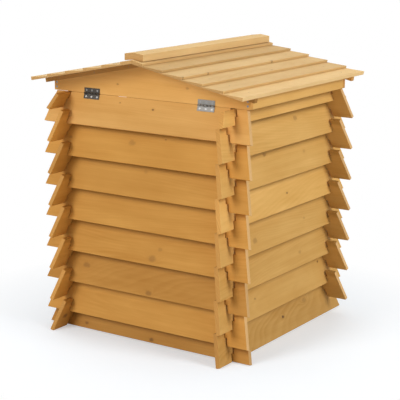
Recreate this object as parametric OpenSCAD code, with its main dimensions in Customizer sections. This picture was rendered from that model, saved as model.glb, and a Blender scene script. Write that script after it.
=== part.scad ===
/* [Bin] */
// Width between the outer bottom edges of the left and right walls
bin_w = 632; // [560:1:700]
// Depth between the outer bottom edges of the rear and front walls
bin_d = 632; // [560:1:700]
// Length that each board end runs on past the wall it crosses
horn = 56; // [40:1:80]

/* [Wall boards] */
// Height from one board of a wall to the next
course = 100; // [94:1:108]
// Width of a wall board, measured along its slope
board_w = 97.5; // [88:0.5:100]
// Thickness of a wall board
board_t = 14; // [11:0.5:18]
// Angle by which the wall boards lean in towards the top
lean = 17.7; // [12:0.1:20]
// Slant of the cut board ends
end_lean = 17.7; // [8:0.1:22]
// How far the ends of the topmost side boards are cut back at their top edge
top_end_cut = 30; // [10:1:36]
// Play outside a board in the notches that it passes through
notch_play_out = 5; // [2:0.1:7]
// Play inside a board in the notches that it passes through
notch_play_in = 1.5; // [0.5:0.1:4]
// Depth planed off the lowest corner of the boards that stand on the ground
foot_trim = 1.5; // [0.5:0.1:3]

/* [Lid] */
// Gap between the top of the walls and the closed lid
lid_gap = 0.3; // [0.1:0.1:2]
// How far the gables run past the tops of the side walls
gable_past = 66; // [50:1:90]
// Thickness of the gables
gable_t = 14; // [12:0.5:20]
// Height of the gables at their ends
gable_end_h = 40; // [34:1:60]
// Thickness of the side rails between the gables
rail_t = 18; // [12:0.5:24]
// Pitch of the roof
roof_pitch = 11.5; // [8:0.1:16]
// Width of the battens, outwards from the gables
batten_w = 16; // [10:0.5:24]
// Height of the battens under the roof boards
batten_h = 13; // [8:0.5:18]
// How far the battens run past the ends of the gables
batten_past = 24; // [5:0.5:40]

/* [Roof boards] */
// How far the roof boards run past the faces of the gables
roof_past = 82; // [60:1:92]
// How far the eaves reach past the ends of the gables
eave_past = 23; // [10:1:45]
// Thickness of a roof board at its lower edge
tip_t = 11.2; // [8:0.1:14]
// Thickness of a roof board where the next one laps over it
thin_t = 3.6; // [2:0.1:6]
// Width of the lap under the lower edge of the next roof board
roof_lap = 12; // [6:0.5:16]
// Visible width of the lowest roof board
eave_show = 64.6; // [50:0.1:80]
// Width of the strips that meet at the ridge
ridge_strip_w = 38.6; // [30:0.1:60]

/* [Ridge cap] */
// Width of the ridge cap
cap_w = 66; // [40:1:90]
// Thickness of the ridge cap
cap_t = 20; // [10:0.5:25]
// Fall of the ridge cap from its middle to its edges
cap_pitch = 7.5; // [1:0.1:9]
// How far the ends of the ridge cap stand in from the ends of the roof boards
cap_inset = 13; // [0:1:40]

/* [Hinges] */
// Distance between the middles of the two hinges
hinge_spacing = 412; // [250:1:480]
// Length of a hinge along its pin
leaf_l = 58; // [50:1:75]
// Height of a hinge leaf from the middle of its pin
leaf_h = 16.5; // [14:0.5:24]
// Thickness of a hinge leaf
leaf_t = 1.4; // [1:0.1:2]
// Diameter of the hinge knuckles
barrel_d = 4.8; // [4.4:0.1:6]
// Diameter of the hinge pins
pin_d = 2.5; // [2:0.1:3]
// Radial play of the pins in the knuckles
pin_play = 0.05; // [0.02:0.01:0.1]
// Distance from the pin to the row of screws in a leaf
leaf_row = 9.5; // [8.5:0.1:10.5]
// Distance between the screws in a leaf
leaf_screw_step = 20.5; // [15:0.5:22]

/* [Screws and nails] */
// Diameter of the countersunk hinge screw heads
hinge_head_d = 6; // [5:0.1:6.4]
// Length of the hinge screws
hinge_screw_l = 12; // [8:0.5:13]
// Diameter of the hinge screw shanks
hinge_shank_d = 3; // [2.4:0.1:3.4]
// Diameter of the countersunk gable screw heads
gable_head_d = 7; // [6:0.1:8]
// Length of the gable screws
gable_screw_l = 40; // [30:1:60]
// Diameter of the gable screw shanks
gable_shank_d = 3.5; // [3:0.1:4]
// Height of the lower gable screws above the bottom of the gable
gable_screw_low = 10; // [6:0.5:12]
// Distance between the two screws at each end of a gable
gable_screw_step = 14; // [10:0.5:15]
// Diameter of the nail shanks
nail_d = 1.8; // [1.4:0.1:2.4]
// Diameter of the nail heads
nail_head_d = 3.2; // [2.8:0.1:4]
// Length of the nails through the roof boards
roof_nail_l = 30; // [22:1:36]
// Length of the nails through the battens
batten_nail_l = 26; // [20:1:28]
// Length of the nails through the ridge cap
cap_nail_l = 55; // [45:1:65]
// Distance from the lower edge of a roof board to its nails
roof_nail_in = 36; // [20:1:40]
// Distance of the ridge cap nails from the middle of the cap
cap_nail_x = 14; // [8:0.5:18]

/* [Hidden] */
$fn = 48;
ROWS = 8;
// The front wall has no board on the ground, which leaves a gap for taking compost out
FRONT_ROWS = ROWS - 1;
ROOF_ROWS = 6;
LEFT = -1;
RIGHT = 1;
SIDES = [LEFT, RIGHT];
KNUCKLES = 5;
// Gap where one piece of wood seats on another, and around screws and nails
seat = 0.1;
// Length added to cuts so that they pass right through
over = 30;

// Heights of a leaning wall board, of its slanting lower edge, and its thickness along the ground
board_rise = board_w * cos(lean);
edge_drop = board_t * sin(lean);
slant_t = board_t / cos(lean);
// A half board is as high as two crossing boards overlap
half_rise = board_rise - course / 2;
notch_depth = half_rise / 2;
// Height of the outer bottom edge of the lowest boards
foot_z = edge_drop - foot_trim;
wall_top = foot_z + (ROWS - 1.5) * course + board_rise;
side_reach = bin_w / 2;
end_reach = bin_d / 2;
side_top_reach = side_reach - board_rise * tan(lean);
end_top_reach = end_reach - board_rise * tan(lean);
head_depth = (hinge_head_d - hinge_shank_d) / 2;
gable_head_depth = (gable_head_d - gable_shank_d) / 2;
// Cross slot in the screw heads, and thickness of the nail heads
recess_w = 0.8;
recess_l = 3.4;
recess_depth = 1;
nail_head_t = 0.8;

// The gables stand flush with the top edges of the rear and front walls
gable_z = wall_top + lid_gap;
gable_half = side_top_reach + gable_past;
gable_face = end_top_reach;
gable_mid = gable_face - gable_t / 2;
ridge_z = gable_z + gable_end_h + gable_half * tan(roof_pitch);
slope_len = (gable_half + eave_past) / cos(roof_pitch);
roof_l = 2 * (gable_face + roof_past);
roof_show = (slope_len - ridge_strip_w - eave_show) / (ROOF_ROWS - 2);
// Half of the gap where the two slopes meet at the ridge
mitre_gap = 0.2;
batten_end = (gable_half + batten_past) / cos(roof_pitch);
// Places of the batten nails down the slope from the ridge
batten_nails = [60, 190, 330];
cap_z = ridge_z + tip_t / cos(roof_pitch) + seat;

// The hinge pins lie just outside the gap between wall and lid
knuckle_clear = 0.2;
axis_off = barrel_d / 2 + knuckle_clear;
axis_y = -(gable_face + axis_off);
axis_z = wall_top + lid_gap / 2;
wall_off = axis_off * cos(lean) + lid_gap / 2 * sin(lean);
// Play between a leaf and the wood, and gaps at the ends of the knuckles
leaf_play = 0.05;
knuckle_w = leaf_l / KNUCKLES;
knuckle_gap = 0.3;

// Height of the lower outer edge of board i of the rear wall, before the lowest one is ripped
function end_wall_z(i) = foot_z + (i - 1.5) * course;
// The same in the side walls, which lie half a course higher
function side_wall_z(i) = foot_z + (i - 1) * course;
// Lower edge of roof board i, as a distance down the slope from the ridge
function roof_tip(i) = i == 1 ? slope_len : slope_len - eave_show - (i - 2) * roof_show;
function roof_width(i) = i == 1 ? eave_show : roof_show;
// Height of the upper face of roof board i above its underside at its nails
function nail_seat(i) =
    i == ROOF_ROWS ? tip_t : tip_t - roof_nail_in * (tip_t - thin_t) / roof_width(i);
function roof_nail_x(i) = i == ROOF_ROWS ? roof_tip(i) - ridge_strip_w / 2 : roof_tip(i) - roof_nail_in;
// Distance down the slope of a vertical plane beside the ridge, at height z over the underside
function mitre_x(z) = (mitre_gap - z * sin(roof_pitch)) / cos(roof_pitch);

// Extrudes a profile drawn as [x, z] along Y, both ways
module along_y(length) {
    rotate([90, 0, 0]) linear_extrude(height = length, center = true) children();
}

// Extrudes a profile drawn as [y, z] along X, both ways
module along_x(length) {
    rotate([90, 0, 90]) linear_extrude(height = length, center = true) children();
}

// Mirrors what faces right when side is LEFT
module handed(side) {
    if (side == LEFT) mirror([1, 0, 0]) children();
    else children();
}

// Puts a mirror copy of what is at the rear at the front as well
module both_ends() {
    children();
    mirror([0, 1, 0]) children();
}

// Puts children in the frame of one roof slope: X down the slope from the ridge, Z out of it
module on_slope(side) {
    handed(side) translate([0, 0, ridge_z]) rotate([0, roof_pitch, 0]) children();
}

// Slots that let the crossing boards through, from height z1 to z2. The crossing walls lean
// like this one, and their boards have their lower outer edge at height z_cross
module notches(sides, cross_reach, z_cross, z1, z2) {
    function face(z) = cross_reach - (z - z_cross) * tan(lean);
    for (side = sides) handed(side)
        along_y(2 * (side_reach + end_reach))
            polygon([
                [face(z1) - slant_t - notch_play_in, z1],
                [face(z1) + notch_play_out, z1],
                [face(z2) + notch_play_out, z2],
                [face(z2) - slant_t - notch_play_in, z2]
            ]);
}

// Leaning board of the rear wall. Its full profile starts at height z, and it is ripped to
// the heights lo and hi. The ends are cut back by end_slope for each unit of height, and
// below and above are the sides where a crossing board passes through its edges
module wall_board(reach, cross_reach, z, lo, hi, end_slope, below, above) {
    function out(h) = -(reach - (h - z) * tan(lean));
    half_l = cross_reach + horn;
    difference() {
        intersection() {
            along_x(2 * (half_l + over))
                polygon([
                    [out(lo), lo],
                    [out(hi), hi],
                    [out(hi) + board_t * cos(lean), hi - edge_drop],
                    [out(lo) + board_t * cos(lean), lo - edge_drop]
                ]);
            along_y(2 * (reach + over))
                polygon([
                    [-half_l - over * end_slope, lo - over],
                    [half_l + over * end_slope, lo - over],
                    [half_l - (hi + over - lo) * end_slope, hi + over],
                    [-half_l + (hi + over - lo) * end_slope, hi + over]
                ]);
        }
        notches(below, cross_reach, z - course / 2, lo - over, z + notch_depth + seat);
        notches(above, cross_reach, z + course / 2, z + board_rise - notch_depth, hi + over);
        if (lo < edge_drop)
            translate([0, 0, -over / 2])
                cube([2 * (half_l + over), 2 * (reach + over), over], center = true);
    }
}

// Board i of the rear wall, counted from a half board on the ground
module end_wall_board(i) {
    z = end_wall_z(i);
    below = i == 1 ? [] : SIDES;
    wall_board(end_reach, side_reach, z, max(z, foot_z), z + board_rise, tan(end_lean), below, SIDES);
}

// Board i of a side wall, whose topmost board is a half board. On the ground only the
// rear wall has a board that passes through it
module side_wall_board(i, rear_side) {
    z = side_wall_z(i);
    top = min(z + board_rise, wall_top);
    slope = i == ROWS ? top_end_cut / half_rise : tan(end_lean);
    below = i == 1 ? [rear_side] : SIDES;
    above = i == ROWS ? [] : SIDES;
    wall_board(side_reach, end_reach, z, z, top, slope, below, above);
}

module rear_board(i) {
    color("burlywood") difference() {
        end_wall_board(i);
        if (i == ROWS) hinge_wall_screws(seat);
    }
}

module front_board(i) {
    color("burlywood") rotate([0, 0, 180]) end_wall_board(i + ROWS - FRONT_ROWS);
}

module left_board(i) {
    color("tan") rotate([0, 0, -90]) side_wall_board(i, RIGHT);
}

module right_board(i) {
    color("tan") rotate([0, 0, 90]) side_wall_board(i, LEFT);
}

// Five-sided board under the roof at the rear
module gable_blank() {
    top = ridge_z - seat;
    end_top = top - gable_half * tan(roof_pitch);
    difference() {
        translate([0, -gable_mid, 0]) along_y(gable_t)
            polygon([
                [-gable_half, gable_z],
                [gable_half, gable_z],
                [gable_half, end_top],
                [0, top],
                [-gable_half, end_top]
            ]);
        gable_screws(seat);
        lid_nails(seat);
    }
}

module rear_gable() {
    color("peru") difference() {
        gable_blank();
        hinge_lid_screws(seat);
    }
}

module front_gable() {
    color("peru") mirror([0, 1, 0]) gable_blank();
}

// Rail between the gables, with its top bevelled to the roof
module rail(side) {
    inner = gable_half - rail_t;
    color("peru") difference() {
        handed(side) along_y(2 * (gable_face - gable_t - seat))
            polygon([
                [inner, gable_z],
                [gable_half, gable_z],
                [gable_half, ridge_z - gable_half * tan(roof_pitch) - seat],
                [inner, ridge_z - inner * tan(roof_pitch) - seat]
            ]);
        gable_screws(seat);
    }
}

// The pair of battens on the outer face of the rear gable
module battens() {
    difference() {
        for (side = SIDES) on_slope(side)
            translate([0, -(gable_face + seat + batten_w / 2), 0]) along_y(batten_w)
                polygon([
                    [mitre_x(-seat), -seat],
                    [batten_end, -seat],
                    [batten_end, -batten_h],
                    [mitre_x(-batten_h), -batten_h]
                ]);
        lid_nails(seat);
    }
}

module rear_battens() {
    color("saddlebrown") battens();
}

module front_battens() {
    color("saddlebrown") mirror([0, 1, 0]) battens();
}

// Tapered roof board i, counted from the eave, with a rebate that laps over the board below
module roof_board(side, i) {
    tip = roof_tip(i);
    upper = tip - roof_width(i);
    rebate = thin_t + seat;
    tongue = i == ROOF_ROWS
        ? [[mitre_x(tip_t), tip_t], [mitre_x(0), 0]]
        : [[upper, thin_t], [upper - roof_lap, thin_t], [upper - roof_lap, 0]];
    lap_edge = tip - roof_lap - seat;
    foot = i == 1 ? [[tip, 0]] : [[lap_edge, 0], [lap_edge, rebate], [tip, rebate]];
    color("wheat") difference() {
        on_slope(side) along_y(roof_l) polygon(concat([[tip, tip_t]], tongue, foot));
        lid_nails(seat);
    }
}

// Capping over the ridge, flatter than the roof, so that it bears on the ridge line
module ridge_cap() {
    half = cap_w / 2;
    fall = half * tan(cap_pitch);
    color("wheat") difference() {
        along_y(roof_l - 2 * cap_inset)
            polygon([
                [0, cap_z],
                [half, cap_z - fall],
                [half, cap_z - fall + cap_t],
                [0, cap_z + cap_t],
                [-half, cap_z - fall + cap_t],
                [-half, cap_z - fall]
            ]);
        lid_nails(seat);
    }
}

// Screw with a countersunk cross-slotted head, its head at the origin and its tip at -Z.
// With play above 0 it is the hole for that screw
module screw(length, shank_d, head_d, head_h, play) {
    difference() {
        union() {
            translate([0, 0, -length - play]) cylinder(d = shank_d + 2 * play, h = length + play);
            translate([0, 0, -head_h - play])
                cylinder(d1 = shank_d, d2 = head_d + 2 * play, h = head_h + play);
            if (play > 0) cylinder(d = head_d + 2 * play, h = over);
        }
        if (play == 0)
            for (turn = [0, 90]) rotate([0, 0, turn])
                cube([recess_l, recess_w, 2 * recess_depth], center = true);
    }
}

// Nail with a flat head let in flush, its head at the origin and its tip at -Z
module nail(length, play) {
    translate([0, 0, -length - play]) cylinder(d = nail_d + 2 * play, h = length);
    translate([0, 0, -nail_head_t - play])
        cylinder(d = nail_head_d + 2 * play, h = nail_head_t + (play > 0 ? over : 0));
}

// Puts children at the middle of each hinge pin
module at_hinges(sides = SIDES) {
    for (side = sides) translate([side * hinge_spacing / 2, axis_y, axis_z]) children();
}

// Turns a leaf that stands up from its pin so that it hangs down on the leaning wall
module down_on_wall() {
    rotate([-lean, 0, 0]) mirror([0, 0, 1]) children();
}

module at_leaf_screws(off) {
    for (i = [-1 : 1])
        translate([i * leaf_screw_step, off - leaf_play - leaf_t, leaf_row])
            rotate([90, 0, 0]) children();
}

// Upright hinge leaf, its pin along X and the wood it is screwed to at distance off along Y.
// It has every second knuckle, from the one numbered first
module leaf(off, first) {
    function knuckle_x(i) = -leaf_l / 2 + i * knuckle_w;
    r = barrel_d / 2;
    back = off - leaf_play;
    difference() {
        union() {
            translate([-leaf_l / 2, back - leaf_t, 0]) cube([leaf_l, leaf_t, leaf_h]);
            for (i = [first : 2 : KNUCKLES - 1]) translate([knuckle_x(i), 0, 0])
                rotate([0, 90, 0]) cylinder(r = r, h = knuckle_w);
        }
        for (i = [1 - first : 2 : KNUCKLES - 1])
            translate([knuckle_x(i) - knuckle_gap, -over, -over])
                cube([knuckle_w + 2 * knuckle_gap, 2 * over, over + r + knuckle_gap]);
        rotate([0, 90, 0]) cylinder(d = pin_d + 2 * pin_play, h = leaf_l + over, center = true);
        at_leaf_screws(off) screw(hinge_screw_l, hinge_shank_d, hinge_head_d, head_depth, seat / 2);
    }
}

module hinge_wall_leaf(side) {
    color("silver") at_hinges([side]) down_on_wall() leaf(wall_off, 0);
}

module hinge_lid_leaf(side) {
    color("silver") at_hinges([side]) leaf(axis_off, 1);
}

module hinge_pins() {
    color("gainsboro") at_hinges()
        rotate([0, 90, 0]) cylinder(d = pin_d, h = leaf_l, center = true);
}

module hinge_wall_screws(play = 0) {
    color("gainsboro") at_hinges() down_on_wall() at_leaf_screws(wall_off)
        screw(hinge_screw_l, hinge_shank_d, hinge_head_d, head_depth, play);
}

module hinge_lid_screws(play = 0) {
    color("gainsboro") at_hinges() at_leaf_screws(axis_off)
        screw(hinge_screw_l, hinge_shank_d, hinge_head_d, head_depth, play);
}

// Two screws through each gable into the end of each rail
module gable_screws(play = 0) {
    color("gainsboro") both_ends() for (side = SIDES) for (row = [0, 1])
        translate([
            side * (gable_half - rail_t / 2),
            -gable_face,
            gable_z + gable_screw_low + row * gable_screw_step
        ])
            rotate([90, 0, 0])
                screw(gable_screw_l, gable_shank_d, gable_head_d, gable_head_depth, play);
}

// Nails through the roof boards, the battens and the ridge cap into the gables
module lid_nails(play = 0) {
    cap_fall = cap_nail_x * tan(cap_pitch);
    color("gainsboro") both_ends() for (side = SIDES) {
        on_slope(side) {
            for (i = [1 : ROOF_ROWS])
                translate([roof_nail_x(i), -gable_mid, nail_seat(i)]) nail(roof_nail_l, play);
            for (x = batten_nails)
                translate([x, -(gable_face + seat + batten_w), -batten_h / 2])
                    rotate([90, 0, 0]) nail(batten_nail_l, play);
        }
        translate([side * cap_nail_x, -gable_mid, cap_z + cap_t - cap_fall])
            nail(cap_nail_l, play);
    }
}

for (i = [1 : ROWS]) {
    rear_board(i);
    left_board(i);
    right_board(i);
}
for (i = [1 : FRONT_ROWS])
    front_board(i);
rear_gable();
front_gable();
rail(LEFT);  // left_rail
rail(RIGHT);  // right_rail
rear_battens();
front_battens();
for (i = [1 : ROOF_ROWS]) {
    roof_board(LEFT, i);
    roof_board(RIGHT, i);
}
ridge_cap();
hinge_wall_leaf(LEFT);  // left_hinge_wall_leaf
hinge_lid_leaf(LEFT);  // left_hinge_lid_leaf
hinge_wall_leaf(RIGHT);  // right_hinge_wall_leaf
hinge_lid_leaf(RIGHT);  // right_hinge_lid_leaf
hinge_pins();
hinge_wall_screws();
hinge_lid_screws();
gable_screws();
lid_nails();
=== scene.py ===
"""Wooden compost bin: finish of its boards, roof, hinges and fasteners, around the CAD frame."""

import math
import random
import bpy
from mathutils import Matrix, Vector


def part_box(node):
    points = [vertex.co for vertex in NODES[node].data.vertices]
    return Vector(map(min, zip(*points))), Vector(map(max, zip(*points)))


bl_info = {
    "name": "Wooden compost bin",
    "version": (1, 0, 0),
    "blender": (4, 5, 0),
    "location": "View3D > Sidebar > Compost bin",
    "description": "Gives the boards, roof and hinges of a wooden compost bin their finish",
    "category": "Object",
}

import bpy
from mathutils import Matrix, Vector

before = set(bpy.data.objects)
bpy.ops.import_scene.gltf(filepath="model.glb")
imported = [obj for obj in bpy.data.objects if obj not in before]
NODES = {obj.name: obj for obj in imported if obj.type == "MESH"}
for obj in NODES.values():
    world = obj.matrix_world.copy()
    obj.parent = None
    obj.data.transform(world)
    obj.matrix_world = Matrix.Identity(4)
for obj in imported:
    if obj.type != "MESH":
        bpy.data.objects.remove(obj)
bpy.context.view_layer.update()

# Directions in the frame, and white for a colour input
ALONG_X = Vector((1, 0, 0))
ALONG_Y = Vector((0, 1, 0))
UP = Vector((0, 0, 1))
WHITE = (1, 1, 1, 1)

# The CAD part: lean of the walls, pitch of the roof, thickness of a board, boards on each slope
LEAN = math.radians(17.7)
PITCH = math.radians(11.5)
BOARD_THICKNESS = 0.014
ROOF_ROWS = 6

# Walls: the way out through each, the way its boards run, how many it has, their wood and ends
WALLS = {
    "rear": (Vector((0, -1, 0)), ALONG_X, 8, "amber", "rear_cut"),
    "front": (Vector((0, 1, 0)), ALONG_X, 7, "honey", "rear_cut"),
    "left": (Vector((-1, 0, 0)), ALONG_Y, 8, "amber", "side_cut"),
    "right": (Vector((1, 0, 0)), ALONG_Y, 8, "honey", "side_cut"),
}

# Boards whose wood isn't that of the rest of their wall
BOARD_WOOD = {"rear_board_8": "lid"}

# Knots of each board: place along it from the middle of the bin, place across it from its own
# middle line, radius, all in metres, and how dark
KNOTS = {
    "rear_board_8": [(0.025, 0.020, 0.0030, 0.8), (-0.097, 0.030, 0.0020, 0.5)],
    "rear_board_7": [
        (-0.050, 0.014, 0.0090, 0.25),
        (0.068, 0.036, 0.0022, 0.7),
        (-0.281, 0.008, 0.0050, 0.3),
    ],
    "rear_board_6": [(-0.003, 0.032, 0.0060, 0.15)],
    "rear_board_4": [
        (0.032, -0.029, 0.0100, 0.3),
        (0.055, 0.002, 0.0060, 0.2),
        (0.238, 0.040, 0.0060, 0.3),
    ],
    "rear_board_3": [(-0.225, 0.010, 0.0090, 0.3), (0.020, -0.038, 0.0080, 0.35)],
    "rear_board_1": [(-0.230, -0.007, 0.0050, 0.5), (0.020, -0.014, 0.0060, 0.6)],
    "left_board_1": [(-0.330, -0.007, 0.0080, 0.6)],
    "left_board_3": [(-0.080, 0.015, 0.0070, 0.4)],
    "left_board_5": [(0.110, -0.012, 0.0060, 0.5), (-0.180, 0.024, 0.0030, 0.6)],
    "left_board_7": [(0.190, 0.005, 0.0085, 0.3)],
    "right_board_7": [(0.074, 0.024, 0.0085, 0.3)],
    "right_board_6": [(-0.100, 0.037, 0.0060, 0.5), (0.130, 0.013, 0.0060, 0.15)],
    "right_board_5": [(0.022, -0.001, 0.0032, 0.85)],
    "right_board_4": [(-0.169, -0.012, 0.0090, 0.3), (0.134, -0.001, 0.0040, 0.2)],
    "right_board_3": [(0.110, -0.007, 0.0060, 0.2)],
    "right_board_2": [(0.250, 0.030, 0.0035, 0.8), (-0.154, 0.006, 0.0030, 0.5)],
    "right_board_1": [(0.017, 0.003, 0.0050, 0.9), (0.160, 0.021, 0.0090, 0.25)],
    "front_board_2": [(0.060, -0.020, 0.0050, 0.5)],
    "front_board_4": [(-0.120, 0.010, 0.0080, 0.4)],
    "front_board_6": [(0.170, 0.018, 0.0050, 0.6)],
    "rear_gable": [(-0.110, -0.020, 0.0030, 0.4), (0.140, -0.012, 0.0040, 0.3)],
    "front_gable": [(0.080, -0.010, 0.0060, 0.4)],
    "right_roof_board_4": [
        (-0.363, 0.038, 0.0035, 0.7),
        (-0.234, 0.039, 0.0028, 0.5),
        (0.129, 0.038, 0.0040, 0.6),
    ],
    "right_roof_board_3": [(0.025, 0.032, 0.0045, 0.4)],
    "left_roof_board_2": [(0.150, 0.010, 0.0050, 0.5)],
    "left_roof_board_5": [(-0.200, 0.000, 0.0040, 0.5)],
}

# How light single boards are, where 1 is the plain colour of their wood
BOARD_TONE = {
    "rear_board_8": 1.03,
    "rear_board_7": 1.06,
    "rear_board_6": 0.99,
    "rear_board_5": 1.01,
    "rear_board_4": 0.99,
    "rear_board_3": 0.85,
    "rear_board_2": 1.0,
    "rear_board_1": 0.77,
    "left_board_7": 1.15,
    "right_board_8": 1.16,
    "right_board_7": 1.07,
    "right_board_6": 1.05,
    "right_board_5": 1.15,
    "right_board_4": 0.98,
    "right_board_3": 0.95,
    "right_board_2": 0.95,
    "right_board_1": 0.84,
    # The rear battens are darkened as painted shade, for the shadow of the roof over them
    "rear_battens": 0.62,
    # The rear gable is lightened as painted light, against the shade of the roof over it
    "rear_gable": 1.08,
    "left_rail": 1.08,
    "right_rail": 1.12,
    "right_roof_board_1": 1.08,
    "right_roof_board_2": 0.93,
    "right_roof_board_3": 0.94,
    "right_roof_board_4": 0.93,
    "right_roof_board_5": 0.80,
    "right_roof_board_6": 0.94,
    "ridge_cap": 1.02,
}

# Every wall and roof board draws a tone from a range, for where the list above has none
WALL_TONES = (0.93, 1.07)
WALL_SEED = 11
ROOF_TONES = (0.95, 1.05)
ROOF_SEED = 5

# How strongly the year rings show on boards that were sawn near the outside of the tree
FIGURE = {
    "rear_board_4": 1.5,
    "rear_board_3": 1.4,
    "right_board_7": 1.5,
    "right_board_3": 1.7,
    "right_board_1": 2.5,
}

# Patterns in the wood: how fine along the grain and across it, per metre, detail and roughness
PATTERNS = {
    "bend": (1.6, 6, 2, 0.5),
    "clear": (2.5, 14, 1, 0.5),
    "streak": (1.6, 55, 4, 0.6),
    "fibre": (22, 1300, 3, 0.65),
    "blotch": (5, 13, 3, 0.5),
}
SPECK_FINENESS = 900

# Each board has its own seed and takes its patterns from another place, within these limits
FIRST_LETTER_WEIGHT = 7
GRAIN_SHIFT = 5
PATTERN_SHIFT = 9

# The heart of the tree, in metres: ranges for how far to the side of the board it lies, how far
# behind it, and how far it drifts along a metre of board, and what part of that goes to the side
HEART_ASIDE = (-0.05, 0.05)
HEART_BEHIND = (0.035, 0.08)
HEART_DRIFT = (0.03, 0.09)
DRIFT_ASIDE = 0.3

# Year rings: range for how many there are per metre, how many years they bend, how uneven the
# years are and how often that changes, and what makes the darkest part of a ring 1
RINGS = (190, 250)
RING_BEND = 9
YEAR_UNEVEN = 2.4
YEAR_CHANGES = 0.35
RING_PEAK = 9.5

# Knots, measured in their radius: what a step along the grain counts against one across it, how
# uneven and how fine their border is, where core and halo end, and how far they push the rings
KNOT_STRETCH = 0.45
KNOT_UNEVEN = 0.9
KNOT_FINENESS = 0.9
CORE_END = 1.15
HALO_END = 3.4
KNOT_PUSH = 0.9

# Knots: how steeply core and halo fade in, what they cover at most, how strong the halo of a pale
# knot is and what a dark one adds, and the shade of the halo
CORE_FADE = 1.6
HALO_FADE = 0.36
CORE_MOST = 0.95
HALO_MOST = 0.85
HALO_LEAST = 0.1
HALO_DARK = 0.5
HALO_SHADE = 0.92

# How far each pattern deepens the colour of a face, and what is taken off, so that the average is
# near the mid colour. Rings turn from faint to clear over a range of the clear pattern
CLEAR_RANGE = (0.35, 0.75)
CLEAR_RINGS = 0.11
FAINT_RINGS = 0.02
STREAK_DEPTH = 0.65
FIBRE_DEPTH = 0.3
BLOTCH_DEPTH = 0.8
DEPTH_TAKEN_OFF = 0.36

# How far each deepens the colour of a sawn end, the shade of its deepest part, and how squarely a
# face looks along the grain to be an end
END_RINGS = 0.35
END_SPECKS = 0.5
END_BLOTCHES = 0.3
END_SHADE = 0.78
END_FACING = (0.62, 0.78)

# Depth at which a face or a sawn end has each of its colours
FACE_STOPS = {"pale": 0.15, "mid": 0.5, "deep": 0.9}
END_STOPS = {"end_pale": 0.2, "end_deep": 0.85}

# Each wall board gets painted shade: a dark strip on the board under it, where its shadow falls.
# Measured down from the top edge of that one: where the strip starts to fade and where it ends.
# Then how far its border wavers, how much of the wood it covers, and its shade
PAINTED_SHADE_FULL = 0.008
PAINTED_SHADE_END = 0.020
PAINTED_SHADE_WAVER = 0.008
PAINTED_SHADE_COVER = 0.5
PAINTED_SHADE_TONE = 0.55

# Gloss of wood: roughness, what fibres and sawn ends add to it, and strength of the reflections
WOOD_ROUGHNESS = 0.55
FIBRE_ROUGHNESS = 0.16
END_ROUGHNESS = 0.18
WOOD_SHINE = 0.2

# Relief of wood: share of the fibres, the streaks and the sunken rings, and height in metres
FIBRE_RELIEF = 0.5
STREAK_RELIEF = 0.4
RING_RELIEF = 0.15
WOOD_RELIEF = 0.00035
WOOD_RELIEF_STRENGTH = 0.55

# Zinc: how fine its crystals, its dull spots and its rubbed streaks are, per metre
CRYSTAL_FINENESS = 650
SPOT_FINENESS = 140
SPOT_DETAIL = 3
RUB_FINENESS = {"x": 60, "y": 900, "z": 900}

# Zinc: how much each of these shows in the colour, between which limits, and its darkest and
# lightest shade
CRYSTAL_SHARE = 0.35
SPOT_SHARE = 0.5
RUB_SHARE = 0.35
ZINC_RANGE = (0.25, 0.9)
ZINC_DARK = 0.72
ZINC_LIGHT = 1.22

# Zinc: how much spots and streaks change the gloss, share of each in the relief, and its height
SPOT_ROUGHNESS = 0.22
RUB_ROUGHNESS = 0.12
ZINC_RELIEF_SHARE = 0.5
ZINC_RELIEF = 0.00012
ZINC_RELIEF_STRENGTH = 0.5

# Average roughness of each metal piece
HINGE_ROUGHNESS = 0.62
SCREW_ROUGHNESS = 0.4
NAIL_ROUGHNESS = 0.6

# Eased edges: rims of screw and nail holes have shorter facets than any edge of a board. Corners
# this close are one, and faces within this angle are one flat face
HOLE_FACET = 0.002
SAME_PLACE = 1e-6
SAME_PLANE = math.radians(1)
EDGE_SEGMENTS = 2
LEAF_EDGE = 0.0002

# Stage: the way to each lamp and its width in degrees, size of the floor in metres, and width of
# the camera's frame in millimetres
LAMPS = {
    "key_light": ((0.88, 0.05, 0.47), 24),
    "fill_light": ((-0.28, -0.86, 0.42), 26),
    "top_light": ((-0.20, 0.25, 0.95), 50),
}
FLOOR_SIZE = 30
FLOOR_ROUGHNESS = 0.9
FRAME_WIDTH = 36


class Value:
    """A number that varies over a surface. An expression on it adds its Math nodes."""

    def __init__(self, nodes, socket):
        self.nodes = nodes
        self.socket = socket

    def math(self, operation, *others, clamp=False):
        settings = {"operation": operation, "use_clamp": clamp}
        values = {f"in_{number}": value for number, value in enumerate((self, *others))}
        return Value(self.nodes, self.nodes.add("ShaderNodeMath", settings, **values).outputs[0])

    def __add__(self, other):
        return self.math("ADD", other)

    __radd__ = __add__

    def __sub__(self, other):
        return self.math("SUBTRACT", other)

    def __rsub__(self, other):
        return self * -1 + other

    def __mul__(self, other):
        return self.math("MULTIPLY", other)

    __rmul__ = __mul__

    def between(self, low, high):
        """0 below low, 1 above high and an even rise between."""
        scale = 1 / (high - low)
        return self.math("MULTIPLY_ADD", scale, -low * scale, clamp=True)


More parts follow.
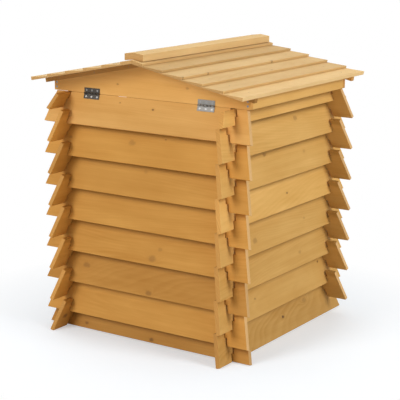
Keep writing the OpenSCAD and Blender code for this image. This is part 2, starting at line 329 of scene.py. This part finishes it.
class Nodes:
    """The nodes of a material or of the world."""

    def __init__(self, tree):
        self.tree = tree

    def add(self, kind, settings=None, **values):
        """Adds a node: its settings first, then the values or links of its inputs."""
        node = self.tree.nodes.new(kind)
        for key, value in (settings or {}).items():
            if key == "stops":
                self.set_stops(node, value)
            else:
                setattr(node, key, value)
        self.fill(node, values)
        return node

    def fill(self, node, values):
        """Fills inputs, each given by its name with _ for a space, or by number as in_0, in_1."""
        for key, value in values.items():
            if key.startswith("in_"):
                slot = node.inputs[int(key.removeprefix("in_"))]
            else:
                name = key.replace("_", " ")
                slot = next(s for s in node.inputs if s.name == name and s.enabled)
            self.connect(slot, value)

    def connect(self, slot, value):
        """Links a node's output to an input, or sets the input to a plain value."""
        if isinstance(value, Value):
            value = value.socket
        if isinstance(value, bpy.types.NodeSocket):
            self.tree.links.new(value, slot)
        else:
            slot.default_value = value

    @staticmethod
    def set_stops(node, stops):
        points = node.color_ramp.elements
        while len(points) < len(stops):
            points.new(0.5)
        for point, (place, colour) in zip(points, stops):
            point.position = place
            point.color = opaque(colour)

    def seen_by_eye(self):
        """1 where the camera sees a surface, also in a mirror or through glass, and 0 elsewhere."""
        path = self.add("ShaderNodeLightPath")
        seen = Value(self, path.outputs["Is Camera Ray"])
        for ray in ("Is Glossy Ray", "Is Transmission Ray"):
            seen = seen.math("MAXIMUM", path.outputs[ray])
        return seen


class Finish(Nodes):
    """A new surface material."""

    def __init__(self, name):
        self.material = bpy.data.materials.new(name)
        self.material.use_nodes = True
        super().__init__(self.material.node_tree)
        self.shader = self.tree.nodes["Principled BSDF"]

    def set(self, **values):
        """Fills inputs of the surface's own shader."""
        self.fill(self.shader, values)

    def vector_math(self, operation, *vectors):
        values = {f"in_{number}": vector for number, vector in enumerate(vectors)}
        return self.add("ShaderNodeVectorMath", {"operation": operation}, **values).outputs

    def dot(self, vector, direction):
        return Value(self, self.vector_math("DOT_PRODUCT", vector, direction)["Value"])

    def vector(self, x, y, z):
        return self.add("ShaderNodeCombineXYZ", X=x, Y=y, Z=z).outputs[0]

    def noise(self, vector, scale=1.0, detail=2.0, roughness=0.5):
        inputs = {"Vector": vector, "Scale": scale, "Detail": detail, "Roughness": roughness}
        return Value(self, self.add("ShaderNodeTexNoise", **inputs).outputs[0])

    def ramp(self, places, colours, tone, factor):
        """A colour between others that are each named with their place on the way from 0 to 1."""
        stops = [(place, shade(colours[name], tone)) for name, place in places.items()]
        return self.add("ShaderNodeValToRGB", {"stops": stops}, in_0=factor).outputs[0]

    def mix(self, factor, first, second):
        """A mix of two colours, which are inputs 6 and 7 and output 2 of the node."""
        settings = {"data_type": "RGBA"}
        return self.add("ShaderNodeMix", settings, in_0=factor, in_6=first, in_7=second).outputs[2]

    def mix_shaders(self, factor, first, second):
        first, second = first.outputs[0], second.outputs[0]
        return self.add("ShaderNodeMixShader", in_0=factor, in_1=first, in_2=second)

    def bump(self, height, distance, strength):
        node = self.add("ShaderNodeBump", Height=height, Distance=distance, Strength=strength)
        self.set(Normal=node.outputs[0])


class Wood(Finish):
    """Solid wood of a board. Each point has a place a along the grain, c across it, d in depth."""

    def __init__(self, name, along, across, shift):
        super().__init__(name)
        place = self.add("ShaderNodeTexCoord")
        self.point = place.outputs["Object"]
        self.normal = place.outputs["Normal"]
        self.along = along
        self.across = across
        self.a = self.dot(self.point, along) + shift
        self.c = self.dot(self.point, across)
        self.d = self.dot(self.point, along.cross(across))

    def pattern(self, name, shift=0.0):
        """One of the patterns, drawn out along the grain."""
        fine_along, fine_across, detail, roughness = PATTERNS[name]
        across = self.c * fine_across + shift
        place = self.vector(self.a * fine_along, across, self.d * fine_across)
        return self.noise(place, detail=detail, roughness=roughness)

    def knots(self, knots):
        """How much knot core and halo a point has, and how far the knots push its rings."""
        cores = halos = push = 0
        for at, radius, dark in knots:
            offset = self.vector_math("SUBTRACT", self.point, at)[0]
            da = self.dot(offset, self.along)
            dc = self.dot(offset, self.across)
            reach = (da * da * KNOT_STRETCH + dc * dc).math("SQRT") * (1 / radius)
            uneven = self.noise(self.point, scale=KNOT_FINENESS / radius)
            reach = reach + uneven * KNOT_UNEVEN - KNOT_UNEVEN / 2
            core = (CORE_END - reach).math("MULTIPLY", CORE_FADE, clamp=True)
            halo = (HALO_END - reach).math("MULTIPLY", HALO_FADE, clamp=True)
            cores = core * dark + cores
            halos = halo * halo * (HALO_LEAST + HALO_DARK * dark) + halos
            push = halo * halo * (KNOT_PUSH * radius) + push
        return cores, halos, push

    def late_wood(self, draw, push):
        """The dark late wood at the end of each year, 1 at its darkest."""
        # The heart of the tree lies behind the board and drifts along it, which draws the arches
        heart_c = draw.uniform(*HEART_ASIDE)
        heart_d = draw.choice((-1, 1)) * draw.uniform(*HEART_BEHIND)
        drift = draw.uniform(*HEART_DRIFT) * draw.choice((-1, 1))
        c = self.c + (self.a * (drift * DRIFT_ASIDE) + heart_c)
        d = self.d + (self.a * drift + heart_d)
        from_heart = (c * c + d * d).math("SQRT") + push
        years = from_heart * draw.uniform(*RINGS) + self.pattern("bend") * RING_BEND
        years = years + self.noise(self.vector(years * YEAR_CHANGES, 0, 0)) * YEAR_UNEVEN
        ring = years.math("FRACT")
        return ring * ring * ring * (1 - ring) * RING_PEAK


def shade(colour, factor):
    """A colour made lighter or darker, darker tones turning a little redder."""
    power = (1.0, 1.12, 1.3)
    return tuple(min(1.0, c * factor**p) for c, p in zip(colour, power))


def opaque(colour):
    return (*colour, 1)


def wood_finish(name, along, across, colours, tone, knots, top):
    """Wood of one board. Top is where its top edge lies, if it has painted shade under the lap."""
    weights = range(FIRST_LETTER_WEIGHT, FIRST_LETTER_WEIGHT + len(name))
    draw = random.Random(sum(ord(letter) * weight for letter, weight in zip(name, weights)))
    wood = Wood("wood_" + name, along, across, draw.uniform(-GRAIN_SHIFT, GRAIN_SHIFT))
    cores, halos, push = wood.knots(knots)
    late = wood.late_wood(draw, push)
    clear = wood.pattern("clear", draw.uniform(0, PATTERN_SHIFT)).between(*CLEAR_RANGE)
    streak = wood.pattern("streak", draw.uniform(0, PATTERN_SHIFT))
    fibre = wood.pattern("fibre")
    blotch = wood.pattern("blotch", draw.uniform(0, PATTERN_SHIFT))
    speck = wood.noise(wood.point, scale=SPECK_FINENESS)

    depth = late * (clear * CLEAR_RINGS + FAINT_RINGS) * FIGURE.get(name, 1.0)
    depth = depth + streak * STREAK_DEPTH + fibre * FIBRE_DEPTH + blotch * BLOTCH_DEPTH
    face = wood.ramp(FACE_STOPS, colours, tone, depth - DEPTH_TAKEN_OFF)
    if knots:
        halo_colour = opaque(shade(colours["deep"], tone * HALO_SHADE))
        core_colour = opaque(shade(colours["knot"], tone))
        face = wood.mix(halos.math("MINIMUM", HALO_MOST), face, halo_colour)
        face = wood.mix(cores.math("MINIMUM", CORE_MOST), face, core_colour)
    # Painted shade: the top of the board darkens in a strip under the board above, where its shadow
    # falls
    if top is not None:
        lap_shade_colour = opaque(shade(colours["deep"], tone * PAINTED_SHADE_TONE))
        height = wood.c + streak * PAINTED_SHADE_WAVER - PAINTED_SHADE_WAVER / 2
        lap_shade = height.between(top - PAINTED_SHADE_END, top - PAINTED_SHADE_FULL)
        face = wood.mix(lap_shade * PAINTED_SHADE_COVER, face, lap_shade_colour)

    # Sawn ends face along the grain
    end = wood.dot(wood.normal, along).math("ABSOLUTE").between(*END_FACING)
    end_depth = late * END_RINGS + speck * END_SPECKS + blotch * END_BLOTCHES
    end_face = wood.ramp(END_STOPS, colours, tone, end_depth)
    wood.set(
        Base_Color=wood.mix(end, face, end_face),
        Roughness=fibre * FIBRE_ROUGHNESS + (end * END_ROUGHNESS + WOOD_ROUGHNESS),
        Specular_IOR_Level=WOOD_SHINE,
    )
    relief = fibre * FIBRE_RELIEF + streak * STREAK_RELIEF - late * RING_RELIEF + end * speck
    wood.bump(relief, WOOD_RELIEF, WOOD_RELIEF_STRENGTH)
    return wood.material


def zinc_finish(name, colour, roughness):
    """Zinc-plated steel with faint crystals, dull spots and rubbed streaks."""
    zinc = Finish(name)
    point = zinc.add("ShaderNodeTexCoord").outputs["Object"]
    cells = zinc.add("ShaderNodeTexVoronoi", Vector=point, Scale=CRYSTAL_FINENESS)
    crystal = Value(zinc, cells.outputs["Distance"])
    spot = zinc.noise(point, scale=SPOT_FINENESS, detail=SPOT_DETAIL)
    x = zinc.dot(point, ALONG_X) * RUB_FINENESS["x"]
    y = zinc.dot(point, ALONG_Y) * RUB_FINENESS["y"]
    z = zinc.dot(point, UP) * RUB_FINENESS["z"]
    rub = zinc.noise(zinc.vector(x, y, z))

    factor = crystal * CRYSTAL_SHARE + spot * SPOT_SHARE + rub * RUB_SHARE
    dark = opaque(shade(colour, ZINC_DARK))
    light = opaque(shade(colour, ZINC_LIGHT))
    smoothest = roughness - (SPOT_ROUGHNESS + RUB_ROUGHNESS) / 2
    zinc.set(
        Base_Color=zinc.mix(factor.between(*ZINC_RANGE), dark, light),
        Metallic=1.0,
        Roughness=spot * SPOT_ROUGHNESS + rub * RUB_ROUGHNESS + smoothest,
    )
    relief = rub * ZINC_RELIEF_SHARE + spot * ZINC_RELIEF_SHARE
    zinc.bump(relief, ZINC_RELIEF, ZINC_RELIEF_STRENGTH)
    return zinc.material


def use(node, material):
    """Makes a material the only one of a CAD piece."""
    materials = NODES[node].data.materials
    materials.clear()
    materials.append(material)


def soften_edges(node, width):
    """Rounds the outline of a CAD piece. The rims of its screw and nail holes stay as they are."""
    piece = NODES[node]
    mesh = piece.data
    rims = set()
    for edge in mesh.edges:
        first, last = (mesh.vertices[i].co for i in edge.vertices)
        if (first - last).length < HOLE_FACET:
            rims.update(edge.vertices)
    outline = piece.vertex_groups.new(name="outline")
    outline.add([i for i in range(len(mesh.vertices)) if i not in rims], 1, "REPLACE")
    weld = piece.modifiers.new("Join triangles", "WELD")
    weld.merge_threshold = SAME_PLACE
    flat = piece.modifiers.new("Flat faces", "DECIMATE")
    flat.decimate_type = "DISSOLVE"
    flat.angle_limit = SAME_PLANE
    bevel = piece.modifiers.new("Soft edges", "BEVEL")
    bevel.width = width
    bevel.segments = EDGE_SEGMENTS
    bevel.limit_method = "VGROUP"
    bevel.vertex_group = outline.name
    piece.modifiers.new("Even shading", "WEIGHTED_NORMAL")


def wood_colours(settings, kind, cut):
    """Colours of the faces of one kind of wood and of its sawn ends."""
    pale = tuple(getattr(settings, f"{kind}_pale"))
    deep = tuple(getattr(settings, f"{kind}_deep"))
    end = tuple(getattr(settings, cut))
    return {
        "pale": pale,
        "mid": tuple((p + q) / 2 for p, q in zip(pale, deep)),
        "deep": deep,
        "knot": tuple(settings.knot),
        "end_pale": end,
        "end_deep": shade(end, END_SHADE),
    }


def finish_board(name, along, across, kind, cut, tone, painted_lap_shade=False):
    """Gives a board its wood, from where it lies and what its list of knots says."""
    settings = bpy.context.scene.bin_wood
    low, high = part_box(name)
    middle = (Vector(low) + Vector(high)) / 2
    middle -= along * middle.dot(along)
    knots = [
        (tuple(middle + along * distance + across * offset), radius, dark)
        for distance, offset, radius, dark in KNOTS.get(name, ())
    ]
    # A board with another above it gets painted shade along its top edge
    top = None
    if painted_lap_shade:
        width = (high[2] - low[2] - BOARD_THICKNESS * math.sin(LEAN)) / math.cos(LEAN)
        top = middle.dot(across) + width / 2
    colours = wood_colours(settings, kind, cut)
    use(name, wood_finish(name, along, across, colours, tone, knots, top))
    soften_edges(name, settings.edge)


def colour_setting(name, description, default):
    return bpy.props.FloatVectorProperty(
        name=name,
        description=description,
        default=default,
        size=3,
        min=0,
        max=1,
        subtype="COLOR",
    )


def place_setting(name, description, default):
    return bpy.props.FloatVectorProperty(
        name=name, description=description, default=default, size=3, unit="LENGTH"
    )


def number_setting(name, description, default, **more):
    """A number, with its limits, unit or subtype where it has any."""
    return bpy.props.FloatProperty(name=name, description=description, default=default, **more)


class WoodSettings(bpy.types.PropertyGroup):
    """Colours of each kind of wood, and the eased edges"""

    amber_pale: colour_setting(
        "Pale amber wood", "Lightest grain of the rear and left boards", (0.68, 0.345, 0.075)
    )
    amber_deep: colour_setting(
        "Deep amber wood", "Darkest grain of the rear and left boards", (0.51, 0.225, 0.034)
    )
    honey_pale: colour_setting(
        "Pale honey wood",
        "Lightest grain of the right and front boards and the rails",
        (0.73, 0.442, 0.140),
    )
    honey_deep: colour_setting(
        "Deep honey wood",
        "Darkest grain of the right and front boards and the rails",
        (0.57, 0.305, 0.070),
    )
    lid_pale: colour_setting(
        "Pale lid wood",
        "Lightest grain of the gables, the battens and the top rear board",
        (0.78, 0.435, 0.135),
    )
    lid_deep: colour_setting(
        "Deep lid wood",
        "Darkest grain of the gables, the battens and the top rear board",
        (0.60, 0.295, 0.065),
    )
    roof_pale: colour_setting(
        "Pale roof wood", "Lightest grain of the roof boards and the ridge cap", (0.84, 0.59, 0.28)
    )
    roof_deep: colour_setting(
        "Deep roof wood", "Darkest grain of the roof boards and the ridge cap", (0.68, 0.43, 0.17)
    )
    knot: colour_setting("Knot", "Middle of a knot", (0.13, 0.055, 0.022))
    rear_cut: colour_setting(
        "Rear and front ends", "Sawn ends of the rear and front boards", (0.80, 0.50, 0.215)
    )
    side_cut: colour_setting(
        "Side ends",
        "Sawn ends of the side boards, gables, rails and battens",
        (0.66, 0.335, 0.088),
    )
    roof_cut: colour_setting(
        "Roof ends", "Sawn ends of the roof boards and the ridge cap", (0.66, 0.38, 0.14)
    )
    edge: number_setting(
        "Edge rounding",
        "Radius of the eased edges",
        0.0011,
        min=0.0002,
        max=0.003,
        unit="LENGTH",
    )


class MetalSettings(bpy.types.PropertyGroup):
    """Colours of the hinges and fasteners"""

    # The left hinge has the right one's zinc, darkened as painted shade because it reflects less of
    # the lamps
    dull_plate: colour_setting("Left hinge", "Dull zinc of the left hinge", (0.085, 0.076, 0.066))
    plate: colour_setting("Right hinge", "Zinc of the right hinge", (0.26, 0.25, 0.23))
    screw: colour_setting("Screws", "Bright zinc of screws and pins", (0.30, 0.29, 0.275))
    nail: colour_setting("Nails", "Dark nails in the roof boards", (0.30, 0.24, 0.17))


class StageSettings(bpy.types.PropertyGroup):
    """Camera, lamps and floor"""

    camera_place: place_setting(
        "Camera place", "Where the camera stands", (2.20161, -3.34836, 1.29859)
    )
    camera_target: place_setting(
        "Camera target", "Where the camera looks", (-0.00139, -0.00091, 0.39018)
    )
    camera_roll: number_setting(
        "Camera roll", "Turn of the camera about its view", math.radians(0.48), subtype="ANGLE"
    )
    lens: number_setting("Lens", "Focal length", 116.46, unit="CAMERA")
    key_light: number_setting("Key light", "Strength of the lamp on the right", 0.51)
    fill_light: number_setting("Fill light", "Strength of the lamp at the rear", 0.52)
    top_light: number_setting("Top light", "Strength of the lamp overhead", 0.25)
    sky: number_setting("Sky", "Strength of the even light all round", 0.26)
    floor: colour_setting("Floor", "Colour of the floor", (0.68, 0.745, 0.805))
    floor_bounce: colour_setting(
        "Floor bounce", "How much light the floor throws back up at the bin", (0.82, 0.82, 0.82)
    )
    floor_glow: number_setting(
        "Floor glow", "Plain white added to the floor that the camera sees", 0.35, min=0, max=1
    )
    floor_near: number_setting(
        "Shaded floor", "Distance to which the floor keeps its full shade", 0.42, unit="LENGTH"
    )
    floor_far: number_setting(
        "White floor", "Distance past which the floor is plain white", 0.88, unit="LENGTH"
    )


class BIN_OT_wall_boards(bpy.types.Operator):
    """Finishes the boards of the four leaning walls"""

    bl_idname = "compost_bin.wall_boards"
    bl_label = "Wall boards"

    def execute(self, context):
        draw = random.Random(WALL_SEED)
        for wall, (out, along, rows, kind, cut) in WALLS.items():
            across = UP * math.cos(LEAN) - out * math.sin(LEAN)
            for row in range(1, rows + 1):
                name = f"{wall}_board_{row}"
                wood = BOARD_WOOD.get(name, kind)
                tone = BOARD_TONE.get(name, draw.uniform(*WALL_TONES))
                # Each board but the top one of its wall gets painted shade under the board above
                finish_board(name, along, across, wood, cut, tone, painted_lap_shade=row < rows)
        return {"FINISHED"}


class BIN_OT_lid_frame(bpy.types.Operator):
    """Finishes the gables, rails and battens that carry the roof"""

    bl_idname = "compost_bin.lid_frame"
    bl_label = "Lid frame"

    def execute(self, context):
        for name, along, kind in (
            ("rear_gable", ALONG_X, "lid"),
            ("front_gable", ALONG_X, "lid"),
            ("left_rail", ALONG_Y, "honey"),
            ("right_rail", ALONG_Y, "honey"),
            ("rear_battens", ALONG_X, "lid"),
            ("front_battens", ALONG_X, "lid"),
        ):
            finish_board(name, along, UP, kind, "side_cut", BOARD_TONE.get(name, 1.0))
        return {"FINISHED"}


class BIN_OT_roof_boards(bpy.types.Operator):
    """Finishes the lapped roof boards and the ridge cap"""

    bl_idname = "compost_bin.roof_boards"
    bl_label = "Roof boards"

    def execute(self, context):
        draw = random.Random(ROOF_SEED)
        for side, sign in (("left", -1), ("right", 1)):
            down = Vector((sign * math.cos(PITCH), 0, -math.sin(PITCH)))
            for row in range(1, ROOF_ROWS + 1):
                name = f"{side}_roof_board_{row}"
                tone = BOARD_TONE.get(name, draw.uniform(*ROOF_TONES))
                finish_board(name, ALONG_Y, down, "roof", "roof_cut", tone)
        cap = "ridge_cap"
        finish_board(cap, ALONG_Y, ALONG_X, "roof", "roof_cut", BOARD_TONE[cap])
        return {"FINISHED"}


class BIN_OT_hinges(bpy.types.Operator):
    """Finishes the hinge leaves"""

    bl_idname = "compost_bin.hinges"
    bl_label = "Hinges"

    def execute(self, context):
        metal = context.scene.bin_metal
        # The left hinge's darker colour is painted shade
        for side, colour in (("left", metal.dull_plate), ("right", metal.plate)):
            plate = zinc_finish(f"{side}_plate", tuple(colour), HINGE_ROUGHNESS)
            for part in ("wall", "lid"):
                leaf = f"{side}_hinge_{part}_leaf"
                use(leaf, plate)
                soften_edges(leaf, LEAF_EDGE)
        return {"FINISHED"}


class BIN_OT_fasteners(bpy.types.Operator):
    """Finishes the screws, nails and pins"""

    bl_idname = "compost_bin.fasteners"
    bl_label = "Screws and nails"

    def execute(self, context):
        metal = context.scene.bin_metal
        bright = zinc_finish("bright_zinc", tuple(metal.screw), SCREW_ROUGHNESS)
        for name in ("hinge_pins", "hinge_wall_screws", "hinge_lid_screws", "gable_screws"):
            use(name, bright)
        use("lid_nails", zinc_finish("nail_metal", tuple(metal.nail), NAIL_ROUGHNESS))
        return {"FINISHED"}


def floor_finish(stage):
    """A floor that keeps the bin's shadow, and turns into the plain white backdrop further away."""
    paint = Finish("pale_floor")
    colour = opaque(stage.floor)
    paint.set(Base_Color=colour, Roughness=FLOOR_ROUGHNESS, Specular_IOR_Level=0.0)
    glow = paint.add("ShaderNodeEmission", Color=WHITE, Strength=stage.floor_glow)
    lit = paint.shader.outputs[0]
    near = paint.add("ShaderNodeAddShader", in_0=lit, in_1=glow.outputs[0])
    far = paint.add("ShaderNodeEmission", Color=WHITE, Strength=1.0)
    point = paint.add("ShaderNodeTexCoord").outputs["Object"]
    distance = Value(paint, paint.vector_math("LENGTH", point)["Value"])
    shown = paint.mix_shaders(distance.between(stage.floor_near, stage.floor_far), near, far)

    # The light that it throws back at the bin has its own colour
    bounce = paint.add("ShaderNodeBsdfDiffuse", Color=opaque(stage.floor_bounce))
    both = paint.mix_shaders(paint.seen_by_eye(), bounce, shown)
    paint.fill(paint.tree.nodes["Material Output"], {"Surface": both.outputs[0]})
    return paint.material


def add_sky(scene, strength):
    """Even light all round, and plain white where the eye sees the sky itself."""
    world = bpy.data.worlds.new("studio")
    world.use_nodes = True
    scene.world = world
    sky = Nodes(world.node_tree)
    light = sky.seen_by_eye() * (1 - strength) + strength
    sky.fill(sky.tree.nodes["Background"], {"Color": WHITE, "Strength": light})


def add_lamp(name, toward, spread, strength):
    """A soft lamp far away. Strength 1 lights a white surface that faces it to plain white."""
    data = bpy.data.lights.new(name, "SUN")
    data.energy = strength * math.pi
    data.angle = math.radians(spread)
    lamp = bpy.data.objects.new(name, data)
    lamp.rotation_euler = Vector(toward).to_track_quat("Z", "Y").to_euler()
    bpy.context.collection.objects.link(lamp)


def camera_matrix(place, target, roll):
    """Where a camera stands that looks from a place at a target, rolled about its view."""
    ahead = (Vector(target) - Vector(place)).normalized()
    level = ahead.cross(UP).normalized()
    upright = level.cross(ahead)
    right = level * math.cos(roll) + upright * math.sin(roll)
    up = upright * math.cos(roll) - level * math.sin(roll)
    turn = Matrix((right, up, -ahead)).transposed().to_4x4()
    return Matrix.Translation(place) @ turn


class BIN_OT_stage(bpy.types.Operator):
    """Sets up the floor, the soft light and the camera"""

    bl_idname = "compost_bin.stage"
    bl_label = "Stage"

    def execute(self, context):
        scene = context.scene
        stage = scene.bin_stage
        scene.view_settings.view_transform = "Standard"

        bpy.ops.mesh.primitive_plane_add(size=FLOOR_SIZE)
        floor = context.object
        floor.name = "floor"
        floor.data.materials.append(floor_finish(stage))

        add_sky(scene, stage.sky)
        for name, (toward, spread) in LAMPS.items():
            add_lamp(name.replace("_", " "), toward, spread, getattr(stage, name))

        data = bpy.data.cameras.new("camera")
        data.lens = stage.lens
        data.sensor_width = FRAME_WIDTH
        camera = bpy.data.objects.new("camera", data)
        place, target, roll = stage.camera_place, stage.camera_target, stage.camera_roll
        camera.matrix_world = camera_matrix(place, target, roll)
        context.collection.objects.link(camera)
        scene.camera = camera
        return {"FINISHED"}


PARTS = (
    BIN_OT_wall_boards,
    BIN_OT_lid_frame,
    BIN_OT_roof_boards,
    BIN_OT_hinges,
    BIN_OT_fasteners,
    BIN_OT_stage,
)
SETTINGS = {"bin_wood": WoodSettings, "bin_metal": MetalSettings, "bin_stage": StageSettings}


class BIN_PT_panel(bpy.types.Panel):
    """Steps and settings of the compost bin"""

    bl_label = "Compost bin"
    bl_idname = "BIN_PT_panel"
    bl_space_type = "VIEW_3D"
    bl_region_type = "UI"
    bl_category = "Compost bin"

    def draw(self, context):
        for part in PARTS:
            self.layout.operator(part.bl_idname)
        for name, group in SETTINGS.items():
            box = self.layout.box()
            for key in group.__annotations__:
                box.prop(getattr(context.scene, name), key)


CLASSES = (*SETTINGS.values(), *PARTS, BIN_PT_panel)


def register():
    for item in CLASSES:
        bpy.utils.register_class(item)
    for name, group in SETTINGS.items():
        setattr(bpy.types.Scene, name, bpy.props.PointerProperty(type=group))


def unregister():
    for name in SETTINGS:
        delattr(bpy.types.Scene, name)
    for item in reversed(CLASSES):
        bpy.utils.unregister_class(item)


def main():
    register()
    for part in PARTS:
        group, step = part.bl_idname.split(".")
        getattr(getattr(bpy.ops, group), step)()


if __name__ == "__main__":
    main()
